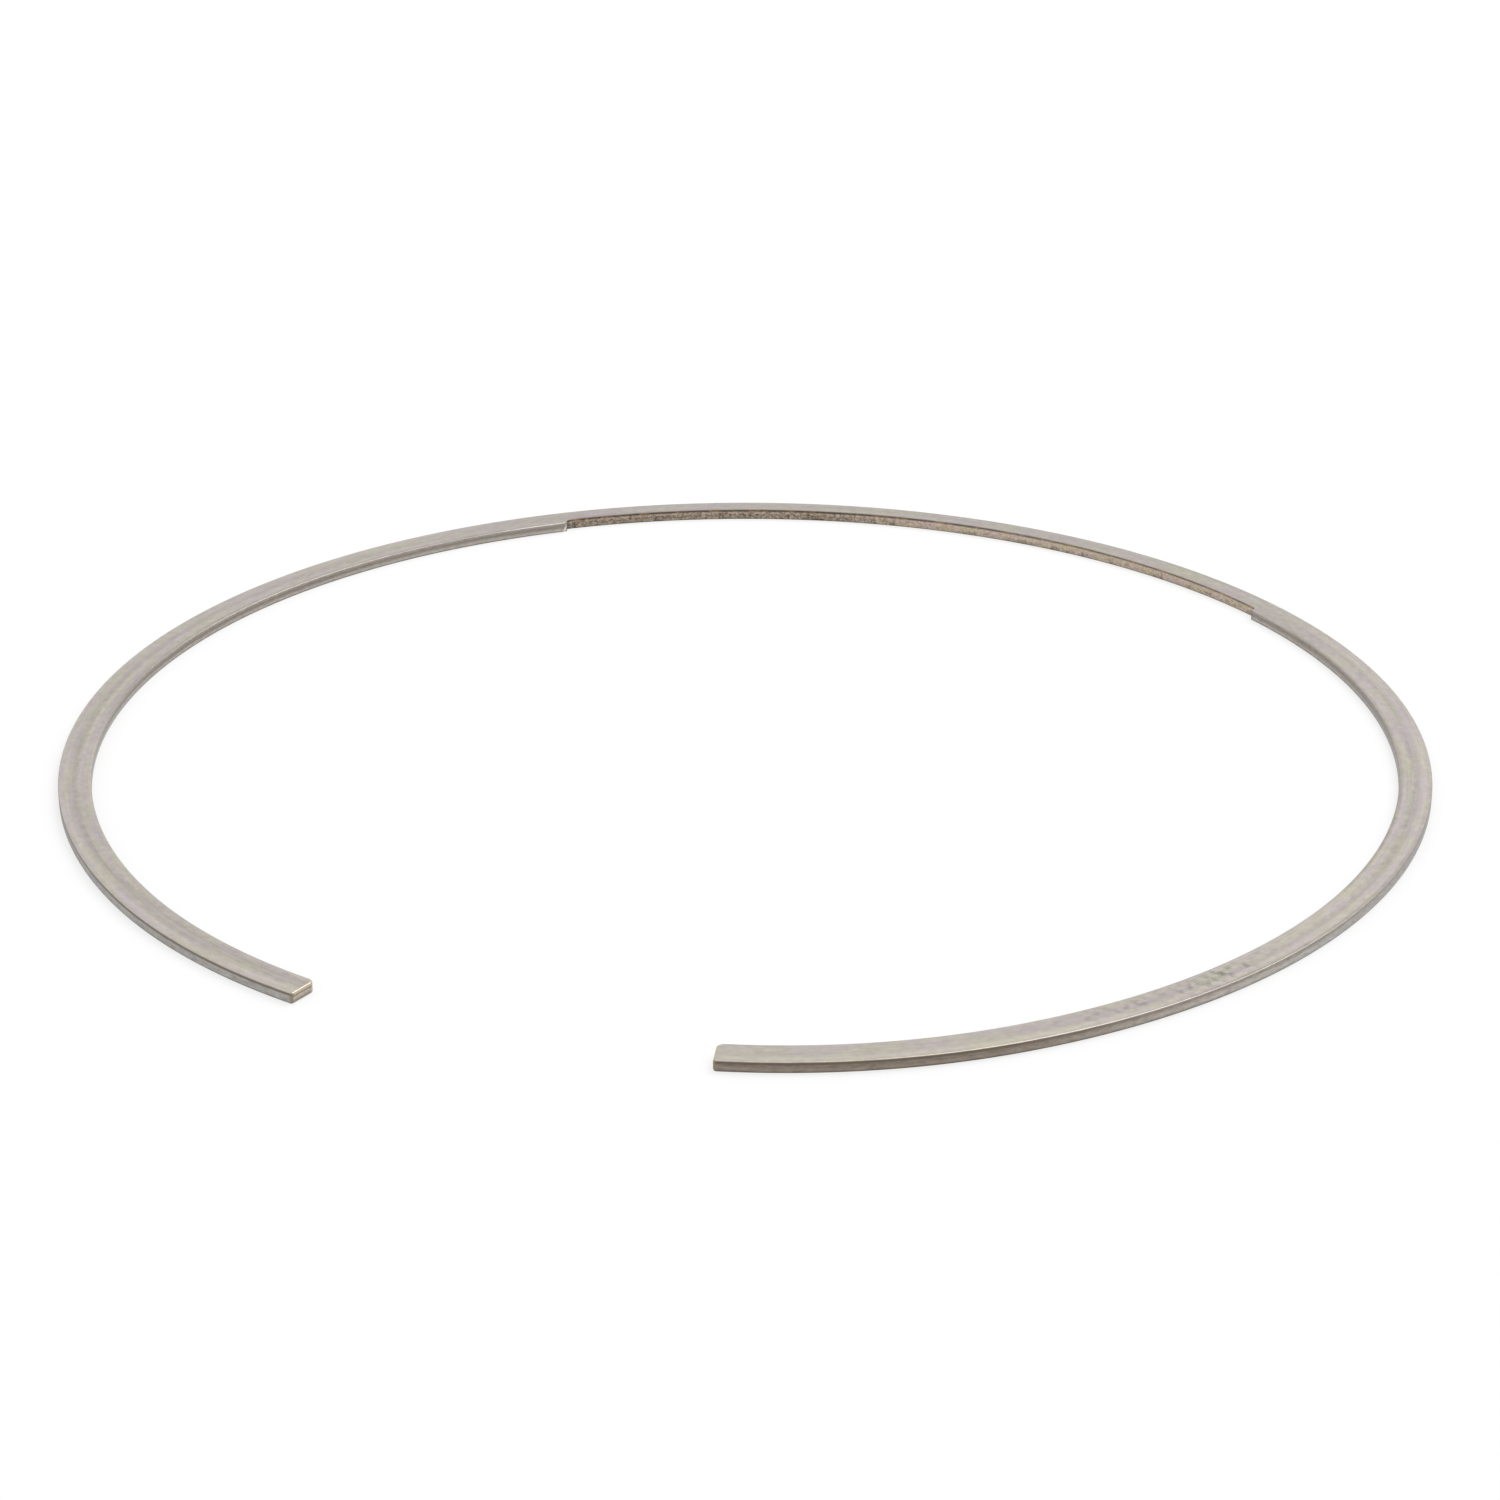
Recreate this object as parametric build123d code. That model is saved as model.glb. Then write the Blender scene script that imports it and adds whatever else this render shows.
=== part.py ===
"""Snap ring of flat drawn wire, coiled on edge into a split ring.

The ring lies flat, as it comes to rest: +Z is up, its underside is at Z 0 and its axis is the
Z axis. The gap between its two ends faces -Y, and the relieved stretch of its inner edge faces
+Y, opposite the gap. Both tips are coiled tighter than the rest, so that they lie a little
inside its circle. Sizes are in millimetres and degrees, for the free ring, sprung neither open
nor closed.
"""

from build123d import *
import math
import os

# The free ring, as seen from above.
outside_diameter = 200.0
gap_angle = 34.0
gap_direction = -90.0

# The tips: the stretch before each end, as seen from the ring's axis, and its outside radius.
tip_angle = 23.0
left_tip_radius = 94.0
right_tip_radius = 85.0

# The drawn flat wire that it is coiled from. Its two narrow edges are rounded.
wire_width = 4.76
wire_thickness = 1.59
wire_edge_radius = 0.20

# The relief, sheared out of the inner edge so that the ring bends evenly.
relief_angle = 74.9
relief_direction = 90.0
relief_depth = 1.09
relief_root_radius = 0.55
relief_lip_radius = 0.50

# The two ends are sheared square across the wire, and their corners are rounded off.
end_corner_radius = 1.00
outer_corner_radius = 0.45

# Every sheared edge is broken a little, and each shear reaches just past the metal.
sheared_edge_radius = 0.10
shear_overlap = 0.05

outer_radius = outside_diameter / 2
inner_radius = outer_radius - wire_width
relief_radius = inner_radius + relief_depth


def polar(radius, angle):
    """The point at a radius and an angle from +X, in degrees."""
    turn = math.radians(angle)
    return Vector(radius * math.cos(turn), radius * math.sin(turn))


class Bend:
    """One stretch of the coil, bent about its own centre, from one angle on by a turn."""

    def __init__(self, centre, outside, start, turn):
        self.centre = centre
        self.outside = outside
        self.start = start
        self.turn = turn

    def arc(self, inwards):
        """The stretch as an arc, so far in from its outside."""
        return CenterArc(self.centre, self.outside - inwards, self.start, self.turn)

    def wire(self):
        """The stretch as solid wire."""
        middle = (self.outside - wire_width / 2, 0, wire_thickness / 2)
        section = Location(middle, (90, 0, 0)) * RectangleRounded(
            wire_width, wire_thickness, wire_edge_radius
        )
        return Pos(*self.centre) * Rotation(0, 0, self.start) * revolve(section, Axis.Z, self.turn)


def tip(side, radius):
    """The tighter stretch at one end. side is 1 for the right end and -1 for the left."""
    root = gap_direction + side * (gap_angle / 2 + tip_angle)
    inset = outer_radius - radius
    turn = tip_angle + math.degrees(math.asin(inset / radius * math.sin(math.radians(tip_angle))))
    start = min(root, root - side * turn)
    return Bend(polar(inset, root), radius, start, turn)


def coil():
    """The three stretches of the coil, from the right end round to the left one."""
    right = tip(1, right_tip_radius)
    left = tip(-1, left_tip_radius)
    root = gap_direction + gap_angle / 2 + tip_angle
    return right, Bend(Vector(), outer_radius, root, 360 - gap_angle - 2 * tip_angle), left


def sector(radius, direction, angle):
    """A pie slice from the axis out to a radius."""
    rim = CenterArc((0, 0), radius, direction - angle / 2, angle)
    sides = Polyline(rim @ 1, (0, 0), rim @ 0)
    return make_face(Wire([rim, *sides.edges()]))


def shear_plan(stretches):
    """What the inner shears leave, from above, with its corners rounded."""
    inside = [stretch.arc(wire_width + shear_overlap) for stretch in stretches]
    outside = [stretch.arc(-shear_overlap) for stretch in stretches]
    right_end = Line(inside[0] @ 0, outside[0] @ 0)
    left_end = Line(inside[-1] @ 1, outside[-1] @ 1)
    kept = make_face(Wire([*inside, *outside, right_end, left_end]))
    kept -= sector(relief_radius, relief_direction, relief_angle)
    edge = inner_radius - shear_overlap
    step = relief_radius - edge
    root_radius = min(relief_root_radius, 0.5 * step)
    lip_radius = min(relief_lip_radius, 0.45 * step)
    corners = [(inside[0] @ 0, end_corner_radius), (inside[-1] @ 1, end_corner_radius)]
    corners += [(outside[0] @ 0, outer_corner_radius), (outside[-1] @ 1, outer_corner_radius)]
    for side in (-1, 1):
        direction = relief_direction + side * relief_angle / 2
        corners.append((polar(relief_radius, direction), root_radius))
        corners.append((polar(edge, direction), lip_radius))
    for corner, corner_radius in corners:
        nearest = kept.vertices().sort_by_distance(corner)[0]
        kept = fillet(nearest, corner_radius)
    return kept


def snap_ring():
    """The coil with its inner edge sheared, and every sheared edge broken."""
    stretches = coil()
    wire = sum((stretch.wire() for stretch in stretches), Part())
    kept = extrude(shear_plan(stretches), wire_thickness + 2 * shear_overlap, dir=(0, 0, 1))
    sheared = wire & Pos(0, 0, -shear_overlap) * kept
    flat_faces = sheared.faces().filter_by(Axis.Z)
    drawn_edges = sheared.faces().filter_by(GeomType.TORUS)
    return fillet(flat_faces.edges() - drawn_edges.edges(), sheared_edge_radius)


ring = snap_ring()
os.makedirs("parts", exist_ok=True)
export_step(ring, "parts/snap_ring.step")
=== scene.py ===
import math

import bpy
from mathutils import Matrix, Vector


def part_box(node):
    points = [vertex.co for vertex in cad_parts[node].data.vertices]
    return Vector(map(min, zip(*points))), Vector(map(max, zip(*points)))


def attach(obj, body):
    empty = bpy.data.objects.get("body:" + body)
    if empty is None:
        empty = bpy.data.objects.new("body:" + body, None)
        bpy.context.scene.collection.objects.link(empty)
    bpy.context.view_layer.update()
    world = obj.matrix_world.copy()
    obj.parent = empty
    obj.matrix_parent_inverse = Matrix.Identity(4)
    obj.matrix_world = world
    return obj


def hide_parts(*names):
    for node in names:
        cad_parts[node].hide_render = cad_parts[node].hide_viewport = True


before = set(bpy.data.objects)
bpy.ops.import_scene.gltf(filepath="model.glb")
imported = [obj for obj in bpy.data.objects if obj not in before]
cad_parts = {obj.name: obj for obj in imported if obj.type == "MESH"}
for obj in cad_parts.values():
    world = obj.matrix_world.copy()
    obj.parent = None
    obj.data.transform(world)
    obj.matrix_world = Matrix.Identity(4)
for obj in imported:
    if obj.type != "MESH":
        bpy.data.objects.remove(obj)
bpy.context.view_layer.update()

MM = 0.001

# Sizes of the ring, in metres and radians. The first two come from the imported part.
low_corner, high_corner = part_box("snap_ring")
OUTSIDE_RADIUS = (high_corner.x - low_corner.x) / 2
WIRE_THICKNESS = high_corner.z - low_corner.z
WIRE_WIDTH = 4.76 * MM
WIRE_EDGE_RADIUS = 0.20 * MM
GAP_ANGLE = math.radians(34.0)
TIP_ANGLE = math.radians(23.0)
LEFT_TIP_RADIUS = 94.0 * MM
RIGHT_TIP_RADIUS = 85.0 * MM
RELIEF_ANGLE = math.radians(74.9)
RELIEF_DEPTH = 1.09 * MM
RELIEF_ROOT_RADIUS = 0.55 * MM
RELIEF_LIP_RADIUS = 0.50 * MM
END_CORNER_RADIUS = 1.00 * MM
OUTER_CORNER_RADIUS = 0.45 * MM
END_EDGE_RADIUS = 0.26 * MM
SHEARED_EDGE_RADIUS = 0.10 * MM

# How finely the ring is divided, along the wire and round its corners and its section.
DRAWN_SPACING = 0.9 * MM
RELIEF_SPACING = 0.2 * MM
CORNER_POINTS = 25
SECTION_CORNER_POINTS = 7
SECTION_SPACING = 0.25
DOUBLES_DISTANCE = 0.0002 * MM

# Colours of the steel, as reflected light; some of them are painted highlights and painted shade.
FLAT_WARM = Vector((0.466, 0.441, 0.360))
FLAT_COOL = Vector((0.466, 0.412, 0.414))
DULL_BROWN_AND_SHADE = Vector((0.30, 0.25, 0.20))
WALL = Vector((0.355, 0.325, 0.290))
SIDE_WALL = Vector((0.375, 0.365, 0.350))
DARK_WALL = Vector((0.228, 0.190, 0.155))
WARM_HIGHLIGHT = Vector((0.56, 0.50, 0.38))
TAN_WALL = Vector((0.46, 0.395, 0.285))
PINK_WALL = Vector((0.49, 0.395, 0.355))
BROWN_WALL = Vector((0.250, 0.203, 0.158))
BRIGHT_HIGHLIGHT = Vector((0.72, 0.69, 0.64))
EDGE_SHADE_LINE = Vector((0.130, 0.103, 0.082))
CREASE_SHADE = Vector((0.085, 0.062, 0.045))
PAINTED_SHADE = Vector((0.13, 0.115, 0.10))
RUST = Vector((0.34, 0.20, 0.09))
PINK_FLECK = Vector((0.56, 0.46, 0.41))
END = Vector((0.52, 0.45, 0.37))
END_EDGE_HIGHLIGHT = Vector((0.50, 0.46, 0.33))
END_CORNER_SHADE = Vector((0.24, 0.21, 0.14))

WHITE = (1.0, 1.0, 1.0, 1.0)

# The photograph's camera, in the ring's frame.
PHOTO_SIZE = 1500
FOCAL_PIXELS = 4354.0
CAMERA_AZIMUTH = math.radians(19.35)
CAMERA_DROP = math.radians(24.03)
CAMERA_DISTANCE = 0.6406
RING_CENTRE_PIXEL = (745.3, 753.9)


# Node trees, written as expressions.


class Value:
    """A socket of a node tree, with the operators that its value needs."""

    def __init__(self, tree, socket):
        self.tree = tree
        self.socket = socket

    def _maths(self, operation, *values):
        vector = any(is_vector(value) for value in values)
        kind = "ShaderNodeVectorMath" if vector else "ShaderNodeMath"
        if vector:
            values = [v if isinstance(v, (Value, Vector)) else (v, v, v) for v in values]
        return self.tree.node(kind, {"operation": operation}, dict(enumerate(values)))

    def __add__(self, other):
        return self._maths("ADD", self, other)

    def __radd__(self, other):
        return self._maths("ADD", other, self)

    def __sub__(self, other):
        return self._maths("SUBTRACT", self, other)

    def __rsub__(self, other):
        return self._maths("SUBTRACT", other, self)

    def __mul__(self, other):
        return self._maths("MULTIPLY", self, other)

    def __rmul__(self, other):
        return self._maths("MULTIPLY", other, self)

    def __truediv__(self, other):
        return self._maths("DIVIDE", self, other)

    def __rtruediv__(self, other):
        return self._maths("DIVIDE", other, self)

    def __pow__(self, other):
        return self._maths("POWER", self, other)

    def __abs__(self):
        return self._maths("ABSOLUTE", self)


def is_vector(value):
    """Whether a value, plain or in a node tree, is a vector or a colour."""
    if isinstance(value, Value):
        return value.socket.type in ("VECTOR", "RGBA")
    return isinstance(value, Vector)


class Tree:
    """A node tree under construction."""

    def __init__(self, nodes_and_links):
        self.built = nodes_and_links

    def node(self, kind, settings=None, values=None, output=0):
        """A node of any type: its settings first, then its inputs by name, identifier or place."""
        made = self.built.nodes.new(kind)
        for name, value in (settings or {}).items():
            setattr(made, name, value)
        for place, value in (values or {}).items():
            self.feed(self.input_of(made, place), value)
        return Value(self, made.outputs[output]) if made.outputs else None

    @staticmethod
    def input_of(made, place):
        """A node's input, by its identifier, its name or its place."""
        if isinstance(place, str):
            named = [s for s in made.inputs if s.identifier == place]
            return named[0] if named else made.inputs[place]
        return made.inputs[place]

    def feed(self, socket, value):
        """Links a value to a socket, or sets it there if it is plain."""
        if isinstance(value, Value):
            self.built.links.new(value.socket, socket)
        else:
            socket.default_value = value

    def least(self, a, b):
        return self.node("ShaderNodeMath", {"operation": "MINIMUM"}, {0: a, 1: b})

    def most(self, a, b):
        return self.node("ShaderNodeMath", {"operation": "MAXIMUM"}, {0: a, 1: b})

    def clamp(self, value, low=0.0, high=1.0):
        return self.node("ShaderNodeClamp", None, {0: value, 1: low, 2: high})

    def maths(self, operation, *values):
        return self.node("ShaderNodeMath", {"operation": operation}, dict(enumerate(values)))

    def xyz(self, x, y, z):
        return self.node("ShaderNodeCombineXYZ", None, {0: x, 1: y, 2: z})

    def parts(self, vector):
        """The three numbers of a vector."""
        split = self.built.nodes.new("ShaderNodeSeparateXYZ")
        self.feed(split.inputs[0], vector)
        return [Value(self, s) for s in split.outputs]

    def mix(self, share, a, b):
        """a where share is 0 and b where it is 1, for numbers or vectors."""
        vector = is_vector(a) or is_vector(b)
        ends = "Vector" if vector else "Float"
        values = {"Factor_Float": share, "A_" + ends: a, "B_" + ends: b}
        settings = {"data_type": ends.upper()}
        return self.node("ShaderNodeMix", settings, values, 1 if vector else 0)

    def ramp(self, value, low, high):
        """0 below low, 1 above high, and a smooth ramp between. It falls where low is above high."""
        settings = {"interpolation_type": "SMOOTHSTEP"}
        return self.node("ShaderNodeMapRange", settings, {0: value, 1: low, 2: high})


# The ring's shape.


class ShapeTree(Tree):
    """A geometry tree with named inputs, and the few nodes that the ring's shape needs."""

    def __init__(self, name, sizes, materials):
        super().__init__(bpy.data.node_groups.new(name, "GeometryNodeTree"))
        made = self.built.interface.new_socket
        self.given = {}
        self.identifiers = {}
        for kind, inputs in (("NodeSocketFloat", sizes), ("NodeSocketMaterial", materials)):
            for label, value in inputs.items():
                socket = made(label, in_out="INPUT", socket_type=kind)
                self.given[socket.identifier] = value
                self.identifiers[label] = socket.identifier
        made("Geometry", in_out="OUTPUT", socket_type="NodeSocketGeometry")
        self.group_input = self.built.nodes.new("NodeGroupInput")

    def size(self, label):
        """The value of a named input."""
        wanted = self.identifiers[label]
        return Value(self, next(s for s in self.group_input.outputs if s.identifier == wanted))

    def keep(self, geometry, kind, value):
        """The geometry, and a value that it carries with it from here on."""
        made = self.built.nodes.new("GeometryNodeCaptureAttribute")
        made.capture_items.new(kind, "Kept")
        self.feed(made.inputs[0], geometry)
        self.feed(made.inputs[1], value)
        return Value(self, made.outputs[0]), Value(self, made.outputs[1])

    def by_index(self, values, kind="FLOAT"):
        """The value in a list that belongs to each point."""
        made = self.built.nodes.new("GeometryNodeIndexSwitch")
        made.data_type = kind
        while len(made.index_switch_items) < len(values):
            made.index_switch_items.new()
        self.feed(made.inputs[0], self.node("GeometryNodeInputIndex"))
        for place, value in enumerate(values):
            self.feed(made.inputs[place + 1], value)
        return Value(self, made.outputs[0])

    def polyline(self, points, radii, arc_points):
        """A line through points, with each of its corners rounded to its own radius."""
        line = self.node("GeometryNodeMeshLine", None, {"Count": len(points)})
        places = self.by_index(points, "VECTOR")
        placed = self.node("GeometryNodeSetPosition", None, {"Geometry": line, "Position": places})
        curve = self.node("GeometryNodeMeshToCurve", None, {"Mesh": placed})
        values = {"Curve": curve, "Count": arc_points, "Radius": self.by_index(radii)}
        return self.node("GeometryNodeFilletCurve", {"mode": "POLY"}, values)

    def divide(self, curve, spacing):
        """The curve with its stretches divided at about this spacing, and short ones left whole."""
        here = self.node("GeometryNodeInputPosition")
        after = self.node("GeometryNodeInputIndex") + 1.0
        values = {"Value": here, "Index": after}
        settings = {"data_type": "FLOAT_VECTOR", "domain": "POINT"}
        there = self.node("GeometryNodeFieldAtIndex", settings, values)
        gap = self.node("ShaderNodeVectorMath", {"operation": "DISTANCE"}, {0: here, 1: there}, 1)
        values = {"Curve": curve, "Cuts": gap / spacing}
        return self.node("GeometryNodeSubdivideCurve", None, values)

    def store(self, geometry, label, kind, value):
        """The geometry, with a value stored on its points under a name."""
        values = {"Geometry": geometry, "Name": label, "Value": value}
        settings = {"data_type": kind, "domain": "POINT"}
        return self.node("GeometryNodeStoreNamedAttribute", settings, values)

    def finish(self, geometry, material):
        """Ends the tree with plain geometry in a material."""
        plain = self.node("GeometryNodeRealizeInstances", None, {"Geometry": geometry})
        values = {"Geometry": plain, "Material": self.size(material)}
        dressed = self.node("GeometryNodeSetMaterial", None, values)
        self.feed(self.built.nodes.new("NodeGroupOutput").inputs[0], dressed)


class Tip:
    """The tighter stretch of the coil before one end, as sizes in the ring's tree."""

    def __init__(self, tree, side, radius):
        outside_radius = tree.size("Outside radius")
        angle = tree.size("Tip angle")
        self.inset = outside_radius - radius
        lean = tree.maths("ARCSINE", self.inset / radius * tree.maths("SINE", angle))
        self.inner_radius = radius - tree.size("Wire width")
        self.root_angle = math.pi - tree.size("Gap angle") / 2 - angle
        self.root = self.root_angle * (outside_radius - tree.size("Wire width"))
        self.end = self.root + (angle + lean) * self.inner_radius
        self.side = side


def inner_edge(tree, left, right):
    """The inner edge rolled out straight, end to end: X along it from the middle of the relief,
    Y how far it is from the drawn inner edge, and all its corners rounded."""
    inner_radius = tree.size("Outside radius") - tree.size("Wire width")
    step = inner_radius * (tree.size("Relief angle") / 2)
    depth = tree.size("Relief depth")
    root = tree.size("Relief root radius")
    lip = tree.size("Relief lip radius")
    end_corner = tree.size("End corner radius")
    stub = 0.01 * MM
    points = []
    radii = []
    for tip, turn in ((left, 1), (right, -1)):
        end = tip.end * tip.side
        corner = (
            (end, end_corner + stub, 0.0),
            (end, 0.0, end_corner),
            (step * tip.side, 0.0, lip),
            (step * tip.side, depth, root),
        )
        points += [tree.xyz(x, y, 0.0) for x, y, _ in corner[::turn]]
        radii += [r for *_, r in corner[::turn]]
    return tree.polyline(points, radii, CORNER_POINTS)


def section_pattern(tree):
    """A rounded square, 4 across, that stands for the wire's section: its quarter arcs are the
    rounded edges, its left and right sides the narrow faces, and its top and bottom the flats."""
    sides = {"Width": 4.0, "Height": 4.0}
    square = tree.node("GeometryNodeCurvePrimitiveQuadrilateral", None, sides)
    values = {"Curve": square, "Count": SECTION_CORNER_POINTS, "Radius": 1.0}
    rounded = tree.node("GeometryNodeFilletCurve", {"mode": "POLY"}, values)
    return tree.divide(rounded, SECTION_SPACING)


def ring_tree(sizes, material):
    """Grows the ring: its stations along the wire times its section, put in place by rule."""
    tree = ShapeTree("Sheared wire ring", sizes, {"Steel": material})
    outside_radius = tree.size("Outside radius")
    width = tree.size("Wire width")
    thickness = tree.size("Wire thickness")
    inner_radius = outside_radius - width
    relief_end = inner_radius * (tree.size("Relief angle") / 2)
    left = Tip(tree, -1.0, tree.size("Left tip radius"))
    right = Tip(tree, 1.0, tree.size("Right tip radius"))

    # Stations: a place and a direction on the inner edge.
    edge = inner_edge(tree, left, right)
    position = tree.node("GeometryNodeInputPosition")
    on_relief = tree.ramp(tree.parts(position)[1], 0.8 * RELIEF_DEPTH, 0.9 * RELIEF_DEPTH)
    spacing = tree.mix(on_relief, tree.size("Drawn spacing"), tree.size("Relief spacing"))
    edge = tree.divide(edge, spacing)
    edge, inner_place = tree.keep(edge, "VECTOR", position)
    edge, direction = tree.keep(edge, "VECTOR", tree.node("GeometryNodeInputTangent"))
    factor = tree.node("GeometryNodeSplineParameter")
    edge, along = tree.keep(edge, "FLOAT", factor)
    length = tree.node("GeometryNodeSplineParameter", None, None, 1)
    edge, inner_way = tree.keep(edge, "FLOAT", length)
    pattern, square = tree.keep(section_pattern(tree), "VECTOR", position)
    values = {"Curve": edge, "Profile Curve": pattern, "Fill Caps": True}
    skin = tree.node("GeometryNodeCurveToMesh", None, values)

    # Where each point of the section lies between the two narrow faces.
    across, up, _ = tree.parts(square)
    outwards = tree.clamp(across / 2 + 0.5)
    beyond = tree.clamp(abs(across) - 1.0)
    above = tree.clamp(abs(up) - 1.0)
    side = tree.maths("SIGN", up)
    level = tree.clamp(up, -1.0, 1.0)

    # The inner edge is drawn, with a large radius, except where it was sheared.
    fade = 0.1 * MM
    past_step = 1.0 * MM
    x, y, _ = tree.parts(inner_place)
    dx, dy, _ = tree.parts(direction)
    sheared = tree.ramp(y, 0.0, fade)
    end_break = tree.size("End edge radius")

    def turn_in(x, reach):
        """How far a rounding of such a reach brings the surface in, at a place near an end."""
        end = tree.mix(tree.maths("GREATER_THAN", x, 0.0), left.end, right.end)
        past = tree.least(tree.most(abs(x) - (end - reach), 0.0), reach)
        return reach - (reach**2.0 - past**2.0) ** 0.5

    past_relief = tree.maths("GREATER_THAN", abs(x), relief_end + past_step)
    inner_break = tree.mix(past_relief, tree.size("Sheared edge radius"), end_break)
    inner_break = tree.mix(sheared, tree.size("Wire edge radius"), inner_break)
    inner_break = tree.most(inner_break - turn_in(x, end_break), 0.0)

    # Both edges' points, rolled out, and pulled in from the wall as the edge turns to the flat.
    inner_x = x - dy * inner_break * (1.0 - beyond)
    inner_y = y + dx * inner_break * (1.0 - beyond)
    outer_x = tree.mix(along, 0.0 - left.end, right.end)
    outer_y = width - tree.size("Wire edge radius") * (1.0 - beyond)
    outer_y = outer_y - turn_in(outer_x, tree.size("Outer corner radius"))
    rolled_x = tree.mix(outwards, inner_x, outer_x)
    rolled_y = tree.mix(outwards, inner_y, outer_y)
    edge_radius = tree.mix(outwards, inner_break, tree.size("Wire edge radius"))
    height = level * (thickness / 2 - edge_radius) + side * above * edge_radius

    # Both flats turn in before each end, to break the end face's edges.
    height = height * (1.0 - turn_in(rolled_x, end_break) / (thickness / 2))

    # Rolled up again, with the relief facing +Y, and past a tip's root about the tip's centre.
    on_right = tree.maths("GREATER_THAN", rolled_x, 0.0)
    root = tree.mix(on_right, left.root, right.root)
    root_angle = tree.mix(on_right, left.root_angle, right.root_angle)
    inset = tree.mix(on_right, left.inset, right.inset)
    tip_radius = tree.mix(on_right, left.inner_radius, right.inner_radius)
    side_of_ring = on_right * 2.0 - 1.0
    past_root = tree.most(abs(rolled_x) - root, 0.0)
    in_tip = tree.maths("GREATER_THAN", past_root, 0.0)
    turn = tree.least(abs(rolled_x), root) / inner_radius + past_root / tip_radius
    radius = tree.mix(in_tip, inner_radius, tip_radius) + rolled_y
    inset = inset * in_tip
    round_x = radius * tree.maths("SINE", turn) + inset * tree.maths("SINE", root_angle)
    round_x = round_x * side_of_ring
    round_y = radius * tree.maths("COSINE", turn) + inset * tree.maths("COSINE", root_angle)
    place = tree.xyz(round_x, round_y, height + thickness / 2)
    skin = tree.node("GeometryNodeSetPosition", None, {"Geometry": skin, "Position": place})

    # What the steel and the texture map need to know of each point.
    step_reach = 0.3 * MM
    face_reach = 0.02 * MM
    rub_start = 0.5 * MM
    rub_full = 0.2 * MM
    to_step = relief_end + step_reach - abs(rolled_x)
    end = tree.mix(on_right, left.end, right.end)
    facts = {
        "wall": beyond,
        "relief": sheared * tree.ramp(to_step, 0.0, fade) * (1.0 - outwards),
        "end_face": tree.ramp(abs(rolled_x), end - face_reach, end),
        "end_edge": tree.ramp(abs(rolled_x), end - rub_start, end - rub_full),
        "inner_way": inner_way,
    }
    skin = tree.store(skin, "rolled", "FLOAT_VECTOR", tree.xyz(rolled_x, rolled_y, height))
    for label, value in facts.items():
        skin = tree.store(skin, label, "FLOAT", value)
    values = {"Geometry": skin, "Distance": DOUBLES_DISTANCE}
    skin = tree.node("GeometryNodeMergeByDistance", None, values)
    skin = tree.node("GeometryNodeSetShadeSmooth", None, {"Geometry": skin})
    tree.finish(skin, "Steel")
    return tree


def grown(name, tree):
    """The plain mesh that a geometry tree gives."""
    blank = bpy.data.objects.new(name, bpy.data.meshes.new(name))
    bpy.context.collection.objects.link(blank)
    modifier = blank.modifiers.new("Growth", "NODES")
    modifier.node_group = tree.built
    for identifier, value in tree.given.items():
        modifier[identifier] = value
    evaluated = blank.evaluated_get(bpy.context.evaluated_depsgraph_get())
    mesh = bpy.data.meshes.new_from_object(evaluated)
    blank.modifiers.remove(modifier)
    blank.data = mesh
    mesh.name = name
    return blank


def lay_out(mesh):
    """A texture map of the ring, rolled out and cut into rows, each with a strip for each side
    of the wire. Seen along the wire, the ends lie in what is left of the last row."""
    row_length = 94.0 * MM
    margin = 1.5 * MM
    gap = 0.8 * MM
    flat_share = 0.7
    bottom_strip = WIRE_WIDTH + gap
    outer_strip = 2 * (WIRE_WIDTH + gap)
    inner_strip = outer_strip + WIRE_THICKNESS + gap
    row_height = inner_strip + WIRE_THICKNESS + gap
    size = row_length + 2 * margin
    low = -WIRE_THICKNESS / 2
    rolled = [item.vector for item in mesh.attributes["rolled"].data]
    ways = [item.value for item in mesh.attributes["inner_way"].data]
    start = min(place.x for place in rolled)
    last_row = int(max(ways) / row_length)
    texture_map = mesh.uv_layers.new(name="OFBake")
    for face in mesh.polygons:
        corners = [rolled[v] for v in face.vertices]
        if len(corners) > 4:
            # An end of the wire.
            face.use_smooth = False
            left = row_length + margin - WIRE_WIDTH
            shift = gap if corners[0].x < 0.0 else WIRE_THICKNESS + 3 * gap
            shift = shift + last_row * row_height
            places = [(left + c.y, shift + c.z - low) for c in corners]
        else:
            normal = (corners[2] - corners[0]).cross(corners[3] - corners[1])
            middle = sum(corners, Vector()) / 4
            if abs(normal.z) > flat_share * normal.length:
                strip = 0.0 if middle.z > 0.0 else bottom_strip
                places = [(c.x - start, strip + c.y) for c in corners]
            elif middle.y > WIRE_WIDTH / 2:
                places = [(c.x - start, outer_strip + c.z - low) for c in corners]
            else:
                heights = [inner_strip + c.z - low for c in corners]
                places = list(zip([ways[v] for v in face.vertices], heights))
            row = int(sum(x for x, _ in places) / 4 / row_length)
            shift = row * row_height + gap / 2
            places = [(x - row * row_length + margin, y + shift) for x, y in places]
        for loop, (x, y) in zip(face.loop_indices, places):
            texture_map.data[loop].uv = (x / size, y / size)


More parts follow.
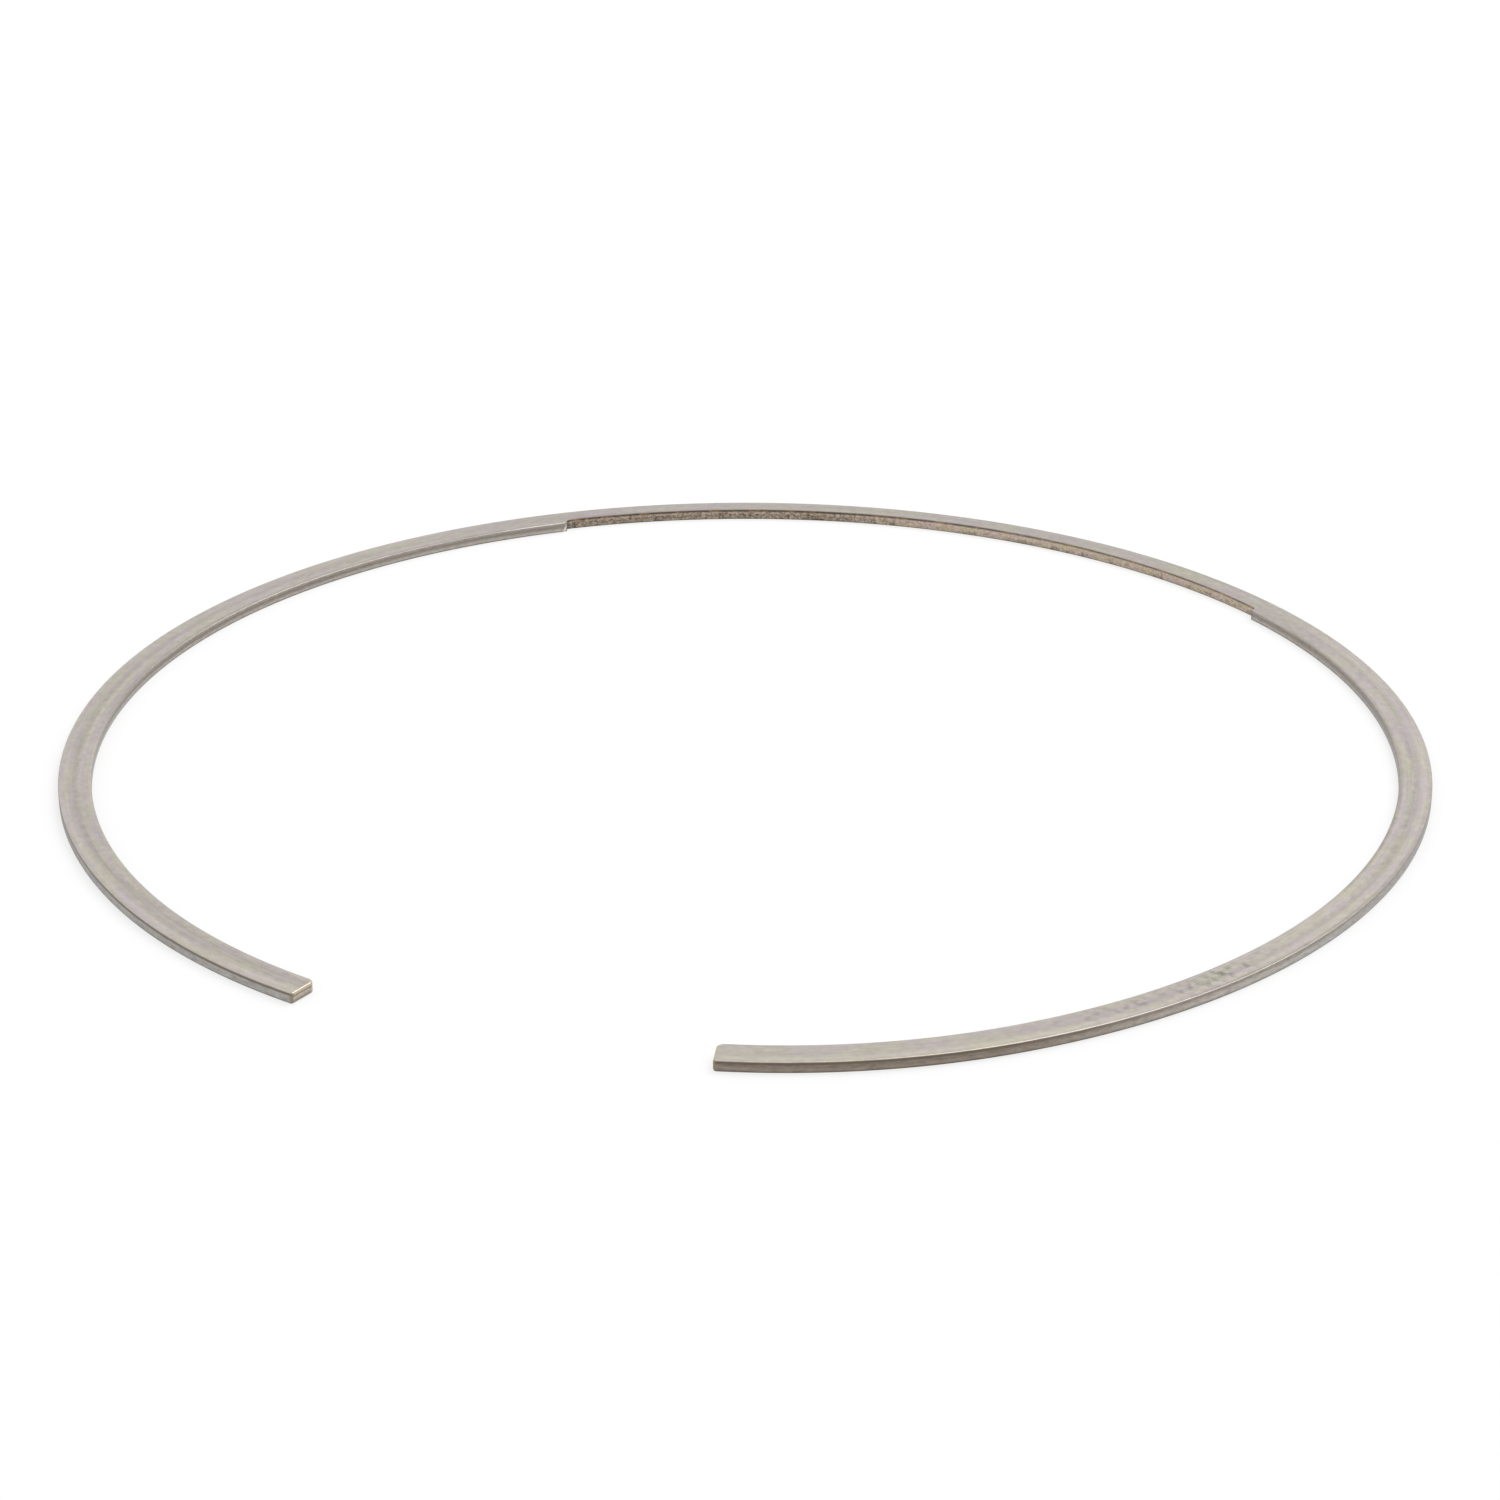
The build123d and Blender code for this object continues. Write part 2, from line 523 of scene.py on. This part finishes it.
def snap_ring(material):
    """The ring as a plain mesh, in its material and with its texture map."""
    sizes = {
        "Outside radius": OUTSIDE_RADIUS,
        "Wire width": WIRE_WIDTH,
        "Wire thickness": WIRE_THICKNESS,
        "Wire edge radius": WIRE_EDGE_RADIUS,
        "Gap angle": GAP_ANGLE,
        "Tip angle": TIP_ANGLE,
        "Left tip radius": LEFT_TIP_RADIUS,
        "Right tip radius": RIGHT_TIP_RADIUS,
        "Relief angle": RELIEF_ANGLE,
        "Relief depth": RELIEF_DEPTH,
        "Relief root radius": RELIEF_ROOT_RADIUS,
        "Relief lip radius": RELIEF_LIP_RADIUS,
        "End corner radius": END_CORNER_RADIUS,
        "Outer corner radius": OUTER_CORNER_RADIUS,
        "End edge radius": END_EDGE_RADIUS,
        "Sheared edge radius": SHEARED_EDGE_RADIUS,
        "Drawn spacing": DRAWN_SPACING,
        "Relief spacing": RELIEF_SPACING,
    }
    made = grown("ring", ring_tree(sizes, material))
    lay_out(made.data)
    return made


# The steel.


class SteelTree(Tree):
    """The steel's shader tree, which knows each point's place on the wire in millimetres: along it
    from the middle of the relief, across it from the drawn inner edge, and in height from the
    middle of its thickness."""

    def __init__(self, node_tree):
        super().__init__(node_tree)
        self.place = self.carried("rolled", "Vector") * (1.0 / MM)
        self.places = self.parts(self.place)
        self.outer = self.ramp(self.places[1], 2.0, 2.8)
        self.wall = self.carried("wall")
        self.relief = self.carried("relief")

    def carried(self, name, output="Fac"):
        """A value that the ring's points carry."""
        return self.node("ShaderNodeAttribute", {"attribute_name": name}, None, output)

    def noise(self, stretches, scale, detail, roughness, shift=0.0):
        """Noise, finer or coarser along the wire, across it and in height. A shift changes it."""
        place = self.place * Vector(stretches)
        if shift:
            place = place + Vector((0.0, 0.0, shift))
        values = {"Vector": place, "Scale": scale, "Detail": detail, "Roughness": roughness}
        return self.node("ShaderNodeTexNoise", None, values)

    def hump(self, value, middle, reach):
        """1 where a value is at its middle, falling smoothly to 0 at some reach to either side."""
        return 1.0 - self.ramp(abs(value - middle), 0.0, reach)

    def stretch(self, value, rise, fall):
        """1 on a stretch, which rises between one pair of places and falls between another."""
        return self.ramp(value, *rise) * (1.0 - self.ramp(value, *fall))


def flat_colour(tree):
    """The rolled flats: warm grey, with a lengthwise grain, long streaks and a few stains."""
    along, across, _ = tree.places
    fine = tree.noise((0.06, 7.0, 7.0), 1.6, 3.0, 0.6) - 0.5
    grain = tree.noise((0.03, 2.6, 2.6), 1.2, 4.0, 0.6) - 0.5
    broad = tree.noise((0.02, 0.9, 1.0), 1.0, 2.0, 0.5) - 0.5
    mottle = tree.noise((1.0, 1.6, 1.0), 0.8, 4.0, 0.6) - 0.5
    tone = 1.0 + fine * 0.24 + grain * 0.3 + broad * 0.2 + mottle * 0.5
    tone = tone - 0.10 * (1.0 - tree.ramp(abs(along), 60.0, 90.0))

    # A dull streak runs near the middle of the wire, and nears the inner edge at the left tip.
    to_tip = tree.ramp(along, -215.0, -240.0)
    on_sides = tree.ramp(abs(along), 45.0, 110.0) * (1.0 - 0.7 * tree.ramp(along, 205.0, 235.0))
    middle = 2.45 - 0.95 * to_tip + broad * 0.8 + mottle * 0.9
    tone = tone - 0.13 * tree.hump(across, middle, 1.05) * on_sides
    tone = tone - 0.05 * tree.hump(across, 2.4, 0.5) * tree.ramp(along, -120.0, -190.0)

    # Painted highlight: towards the tips the outer half is brighter.
    towards_tips = tree.ramp(abs(along), 150.0, 235.0)
    tone = tone + 0.09 * tree.hump(across, 3.8, 1.0) * towards_tips

    # Painted shade darkens the flats towards their edges: the outer one on the right, and the inner
    # one along the back.
    on_right = tree.stretch(along, (120.0, 165.0), (200.0, 224.0))
    at_back = tree.stretch(abs(along), (64.0, 80.0), (158.0, 184.0))
    tone = tone - 0.26 * tree.ramp(across, 3.9, 4.5) * on_right
    tone = tone - 0.22 * (1.0 - tree.ramp(across, 0.15, 1.0)) * at_back

    # Short slanting stains on one stretch.
    waver = tree.noise((0.9, 0.9, 1.0), 1.0, 2.0, 0.5) - 0.5
    slant = tree.maths("SINE", along * 3.1 + across * 1.5 + waver * 8.0)
    slant = slant + 0.5 * tree.maths("SINE", along * 4.3 - across * 2.4 + waver * 6.0)
    patchy = tree.ramp(tree.noise((1.0, 1.0, 1.0), 0.5, 1.0, 0.5), 0.28, 0.6)
    place = tree.hump(along, 208.0, 26.0) + tree.hump(along, 200.0, 8.0)
    tone = tone - 0.26 * tree.ramp(slant, -0.3, 0.9) * patchy * place * tree.hump(across, 2.3, 2.8)

    # Cooler and warmer threads lie side by side.
    tint = tree.noise((0.12, 0.9, 3.0), 1.0, 3.0, 0.6, 7.0)
    steel = tree.mix(tree.ramp(tint, 0.34, 0.66), FLAT_WARM, FLAT_COOL)

    # The sheared relief leaves a dull, brownish margin on the flat beside it.
    beside = (1.0 - tree.ramp(across, 1.15, 1.75)) * (1.0 - tree.ramp(abs(along), 60.0, 62.0))
    tone = tone - 0.5 * (1.0 - tree.ramp(across, 1.25, 1.8)) * beside * tree.ramp(along, 36.0, 6.0)
    ragged = tree.noise((1.3, 2.0, 1.0), 1.0, 3.0, 0.6)
    return tree.mix(beside * (0.2 + 0.7 * ragged), steel, DULL_BROWN_AND_SHADE) * tone


def drawn_wall_colour(tree):
    """The drawn narrow faces: greyer and duller than the flats, in long bands, with painted shade
    and light on them.
    """
    along, _, height = tree.places
    outer = tree.outer
    band = tree.noise((0.03, 1.0, 3.0), 1.0, 3.0, 0.55) - 0.5
    speck = tree.noise((0.9, 1.0, 3.0), 1.0, 3.0, 0.65) - 0.5
    right_tip = tree.ramp(along, 200.0, 242.0)
    left_tip = tree.ramp(along, -130.0, -190.0)
    # Partly the steel's own tone and partly painted light and shade: the outer wall is darker at the
    # right tip and lighter along the sides, painted shade darkens some stretches, and painted light
    # gives lighter mid-height bands near the right tip.
    colour = tree.mix(right_tip * outer, WALL, DARK_WALL)
    colour = tree.mix(outer * (1.0 - tree.ramp(along, 170.0, 215.0)) * 0.6, colour, SIDE_WALL)
    tone = 1.0 + band * 0.5 + speck * 1.1
    grazing_shade = 0.24 * tree.hump(along, 142.0, 30.0) + 0.2 * tree.hump(along, -186.0, 34.0)
    grazing_shade = grazing_shade + 0.5 * tree.hump(along, -200.0, 36.0)
    tone = tone - outer * grazing_shade - (1.0 - outer) * 0.22 * tree.hump(along, 114.0, 36.0)
    tone = tone + outer * 0.24 * tree.hump(along, 203.0, 46.0) * tree.hump(height, -0.1, 0.5)
    tone = tone + outer * 0.16 * right_tip * tree.hump(height, -0.35, 0.5)

    # Painted reflection: a dark line below the upper edge and a lighter band under it; and painted
    # contact shadow towards the underside.
    line = tree.mix(outer, 0.2 + 0.14 * tree.ramp(along, 60.0, 80.0), 0.56)
    upper = tree.hump(height, line + band * 0.12, tree.mix(outer, 0.5, 0.4))
    darkness = tree.mix(outer, 0.5, 0.2 + 0.65 * tree.most(left_tip, right_tip))
    lighter = tree.hump(height, -0.4, 0.34) * tree.mix(outer, 0.2, 0.04)
    lower = 1.0 - tree.ramp(height, -0.78, -0.42)
    tone = tone * (1.0 + lighter) * (1.0 - 0.45 * lower)
    return tree.mix(upper * darkness, colour * tree.most(tone, 0.3), EDGE_SHADE_LINE)


def sheared_wall_colour(tree):
    """The relief's sheared wall: tan and smooth on the right, browner and mottled on the left."""
    along, _, height = tree.places
    mottle = tree.noise((1.8, 1.0, 2.6), 1.0, 4.0, 0.7)
    blotch = tree.ramp(mottle, 0.3, 0.7) - 0.5
    torn = tree.noise((4.0, 1.0, 1.2), 1.0, 3.0, 0.6) - 0.5
    patch = tree.noise((0.12, 1.0, 0.5), 1.0, 2.0, 0.5) - 0.5
    left = tree.ramp(along + patch * 20.0, 2.0, -22.0)
    tint = tree.noise((0.25, 1.0, 1.5), 1.0, 2.0, 0.5, 3.0)
    colour = tree.mix(tree.ramp(tint, 0.38, 0.62), TAN_WALL, PINK_WALL)
    colour = tree.mix(left, colour, BROWN_WALL)
    lower_patches = tree.noise((0.4, 1.0, 0.8), 1.0, 3.0, 0.6)
    tone = 1.05 + blotch * (0.5 + 0.9 * left) + torn * (0.5 + 1.2 * left)
    # Darker in patches towards the bottom, lighter bands at two heights on the left, and on the
    # right darker towards the bottom.
    tone = tone - 0.3 * tree.ramp(lower_patches, 0.48, 0.62) * (1.0 - tree.ramp(height, -0.3, 0.4))
    bands = 0.22 * tree.hump(height, 0.45, 0.4) + 0.24 * tree.hump(height, -0.42, 0.45)
    tone = tone + bands * left
    tone = tone - 0.14 * (1.0 - left) * tree.ramp(height, 0.1, -0.6)
    return colour * tree.most(tone, 0.3)


def edge_colour(tree, colour):
    """The lines along the wire's edges, most of them painted highlights and painted shade, over the
    colour of its faces.
    """
    along, across, height = tree.places
    outer = tree.outer
    wall = tree.wall
    relief = tree.relief
    patchiness = tree.noise((0.7, 2.0, 2.0), 1.0, 4.0, 0.65)
    rounding = tree.stretch(wall, (0.08, 0.3), (0.6, 0.95))

    # Painted shade on the rounded edges: the outer one on the right, and the inner one along the
    # back.
    on_right = tree.stretch(along, (120.0, 165.0), (196.0, 220.0))
    at_back = tree.stretch(abs(along), (72.0, 80.0), (158.0, 184.0))
    edge_shade = rounding * tree.mix(outer, at_back * 0.4, on_right * 0.65)
    colour = tree.mix(edge_shade, colour, DULL_BROWN_AND_SHADE)

    # Painted highlight: a thin warm line along the outer drawn edge, strongest near the tips.
    tips = tree.ramp(along, 208.0, 232.0) + 0.8 * tree.ramp(along, -175.0, -225.0)
    warm_highlight = rounding * outer * tree.ramp(patchiness, 0.3, 0.6) * (0.04 + 0.56 * tips)
    colour = tree.mix(warm_highlight, colour, WARM_HIGHLIGHT)

    # Painted contact shadow along the lower edge.
    low = (1.0 - tree.ramp(height, -0.72, -0.55)) * tree.ramp(wall, 0.05, 0.4)
    colour = tree.mix(low * 0.6, colour, PAINTED_SHADE)

    # The relief: painted shade as a thin dark crease line with rusty spots, and pale torn flecks
    # just under it.
    left = tree.ramp(along, 20.0, -10.0)
    crease = tree.hump(height, 0.7, 0.32) * relief * tree.ramp(wall, 0.2, 0.6)
    rust = tree.noise((0.5, 1.0, 1.0), 1.0, 3.0, 0.7)
    dark = tree.mix(tree.ramp(rust, 0.46, 0.66) * 0.85, CREASE_SHADE, RUST)
    colour = tree.mix(crease * (0.8 + 0.2 * left) * tree.ramp(patchiness, 0.1, 0.4), colour, dark)
    fleck = tree.noise((1.1, 1.0, 1.5), 1.0, 2.0, 0.5)
    under = tree.hump(height, 0.3, 0.24) * relief * tree.ramp(fleck, 0.5, 0.62)
    colour = tree.mix(under * 0.6, colour, PINK_FLECK)

    # The steps: painted shade in their corners, and painted highlights on the left one's lip and on
    # the inner edge just before it.
    root_place = 61.8
    right_lip_place = 62.6
    left_lip_place = -62.5
    highlight_place = -67.0
    corner = tree.hump(abs(along), root_place, 0.5) + tree.hump(along, right_lip_place, 0.4) * 0.8
    corner = corner * (1.0 - outer) * tree.ramp(wall, 0.1, 0.5)
    colour = tree.mix(corner * 0.6, colour, PAINTED_SHADE)
    before = rounding * (1.0 - outer) * tree.hump(along, highlight_place, 8.0)
    colour = tree.mix(before * 0.5, colour, BRIGHT_HIGHLIGHT)
    lip = tree.hump(along - height * 0.5, left_lip_place, 0.42)
    lip = lip * (1.0 - tree.ramp(across, 0.8, 1.0))
    return tree.mix(lip * tree.ramp(wall, 0.05, 0.35) * 0.8, colour, BRIGHT_HIGHLIGHT)


def end_colour(tree):
    """The sheared ends' faces: tan, with a dark line under the top and darker towards the bottom."""
    height = tree.places[2]
    torn = tree.noise((1.0, 2.0, 3.0), 1.0, 4.0, 0.65) - 0.5
    tone = 1.0 - 0.5 * tree.ramp(height, 0.1, -0.6) + torn * 0.7
    tone = tone - 0.45 * tree.hump(height, 0.3 + torn * 0.4, 0.24)
    return tree.most(tone, 0.3) * END


def spring_steel():
    """Spring steel as a coiled and sheared wire shows it: a surface for each way it was made, with
    painted highlights and painted shade on its edges, steps and ends.
    """
    smooth_roughness = 0.36
    torn_roughness = 0.5
    roughness_spread = 0.16
    grain_depth = 0.003
    torn_depth = 0.06
    material = bpy.data.materials.new("spring_steel")
    material.use_nodes = True
    material.node_tree.nodes.clear()
    tree = SteelTree(material.node_tree)

    walls = tree.mix(tree.relief, drawn_wall_colour(tree), sheared_wall_colour(tree))
    colour = tree.mix(tree.ramp(tree.wall, 0.45, 0.95), flat_colour(tree), walls)
    colour = edge_colour(tree, colour)
    # Painted warm highlight along each end's top edge, and painted shade on its outer corner.
    end_corner = tree.wall * tree.ramp(tree.places[1], 3.8, 4.2)
    end_edge = tree.mix(end_corner, END_EDGE_HIGHLIGHT, END_CORNER_SHADE)
    colour = tree.mix(tree.carried("end_edge") * 0.8, colour, end_edge)
    colour = tree.mix(tree.carried("end_face"), colour, end_colour(tree))

    grain = tree.noise((0.05, 6.0, 6.0), 1.5, 3.0, 0.6)
    torn = tree.noise((3.0, 3.0, 1.2), 1.0, 4.0, 0.65)
    sheared = tree.relief * tree.wall
    roughness = tree.mix(sheared, smooth_roughness, torn_roughness)
    roughness = roughness + (grain - 0.5) * roughness_spread
    texture = tree.mix(sheared, grain * grain_depth, torn * torn_depth)
    bump = tree.node("ShaderNodeBump", None, {"Height": texture, "Distance": MM})
    values = {"Base Color": colour, "Metallic": 1.0, "Roughness": roughness, "Normal": bump}
    steel = tree.node("ShaderNodeBsdfPrincipled", None, values)
    tree.node("ShaderNodeOutputMaterial", None, {"Surface": steel})
    return material


# The setting: a white floor, a soft sky and one large soft lamp.


def seen(tree):
    """1 for a ray that looks, straight or by a reflection, and 0 for one that only lights."""
    kinds = ("Is Camera Ray", "Is Glossy Ray", "Is Transmission Ray")
    rays = [tree.node("ShaderNodeLightPath", None, None, kind) for kind in kinds]
    return tree.most(tree.most(rays[0], rays[1]), rays[2])


def floor():
    """A white floor under the ring, which glows a little where it is seen."""
    reach = 3.0
    paint_colour = (0.9, 0.9, 0.9, 1.0)
    glow_strength = 1.06
    glow_share = 0.65
    mesh = bpy.data.meshes.new("floor")
    corners = [(x * reach, y * reach, 0.0) for x, y in ((-1, -1), (1, -1), (1, 1), (-1, 1))]
    mesh.from_pydata(corners, [], [(0, 1, 2, 3)])
    material = bpy.data.materials.new("floor")
    material.use_nodes = True
    material.node_tree.nodes.clear()
    tree = Tree(material.node_tree)
    paint = tree.node("ShaderNodeBsdfDiffuse", None, {"Color": paint_colour})
    glow = tree.node("ShaderNodeEmission", None, {"Color": WHITE, "Strength": glow_strength})
    values = {0: seen(tree) * glow_share, 1: paint, 2: glow}
    surface = tree.node("ShaderNodeMixShader", None, values)
    tree.node("ShaderNodeOutputMaterial", None, {"Surface": surface})
    mesh.materials.append(material)
    made = bpy.data.objects.new("floor", mesh)
    bpy.context.collection.objects.link(made)


def sky():
    """An even white sky, a little brighter where it is seen than as a light."""
    strength_as_light = 0.8
    strength_seen = 1.0
    world = bpy.data.worlds.new("sky")
    bpy.context.scene.world = world
    world.use_nodes = True
    world.node_tree.nodes.clear()
    tree = Tree(world.node_tree)
    strength = tree.mix(seen(tree), strength_as_light, strength_seen)
    light = tree.node("ShaderNodeBackground", None, {"Color": WHITE, "Strength": strength})
    tree.node("ShaderNodeOutputWorld", None, {"Surface": light})


def lamp(name, place, size, power):
    """A square soft lamp that points at the ring's middle."""
    data = bpy.data.lights.new(name, "AREA")
    data.shape = "SQUARE"
    data.size = size
    data.energy = power
    made = bpy.data.objects.new(name, data)
    made.location = place
    made.rotation_euler = (-Vector(place)).to_track_quat("-Z", "Y").to_euler()
    bpy.context.collection.objects.link(made)


def camera():
    """The photograph's camera: its lens, its height and its side of the ring."""
    sensor = 36.0
    data = bpy.data.cameras.new("camera")
    data.sensor_width = sensor
    data.sensor_height = sensor
    data.sensor_fit = "HORIZONTAL"
    data.lens = FOCAL_PIXELS / PHOTO_SIZE * sensor
    data.clip_start = 0.01
    made = bpy.data.objects.new("camera", data)
    around = Matrix.Rotation(CAMERA_AZIMUTH, 3, "Z")
    right = around @ Vector((1.0, 0.0, 0.0))
    forward = around @ Vector((0.0, math.cos(CAMERA_DROP), -math.sin(CAMERA_DROP)))
    upward = right.cross(forward)
    across = (RING_CENTRE_PIXEL[0] - PHOTO_SIZE / 2) / FOCAL_PIXELS
    down = (RING_CENTRE_PIXEL[1] - PHOTO_SIZE / 2) / FOCAL_PIXELS
    sight = forward + across * right - down * upward
    made.matrix_world = Matrix.Translation(-CAMERA_DISTANCE * sight) @ Matrix(
        (right, upward, -forward)
    ).transposed().to_4x4()
    bpy.context.collection.objects.link(made)
    bpy.context.scene.camera = made


camera()
sky()
floor()
lamp("key", place=(0.5, 1.0, 1.6), size=1.2, power=12.0)
bpy.context.scene.view_settings.view_transform = "Standard"

ring = snap_ring(spring_steel())
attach(ring, "root")
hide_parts("snap_ring")
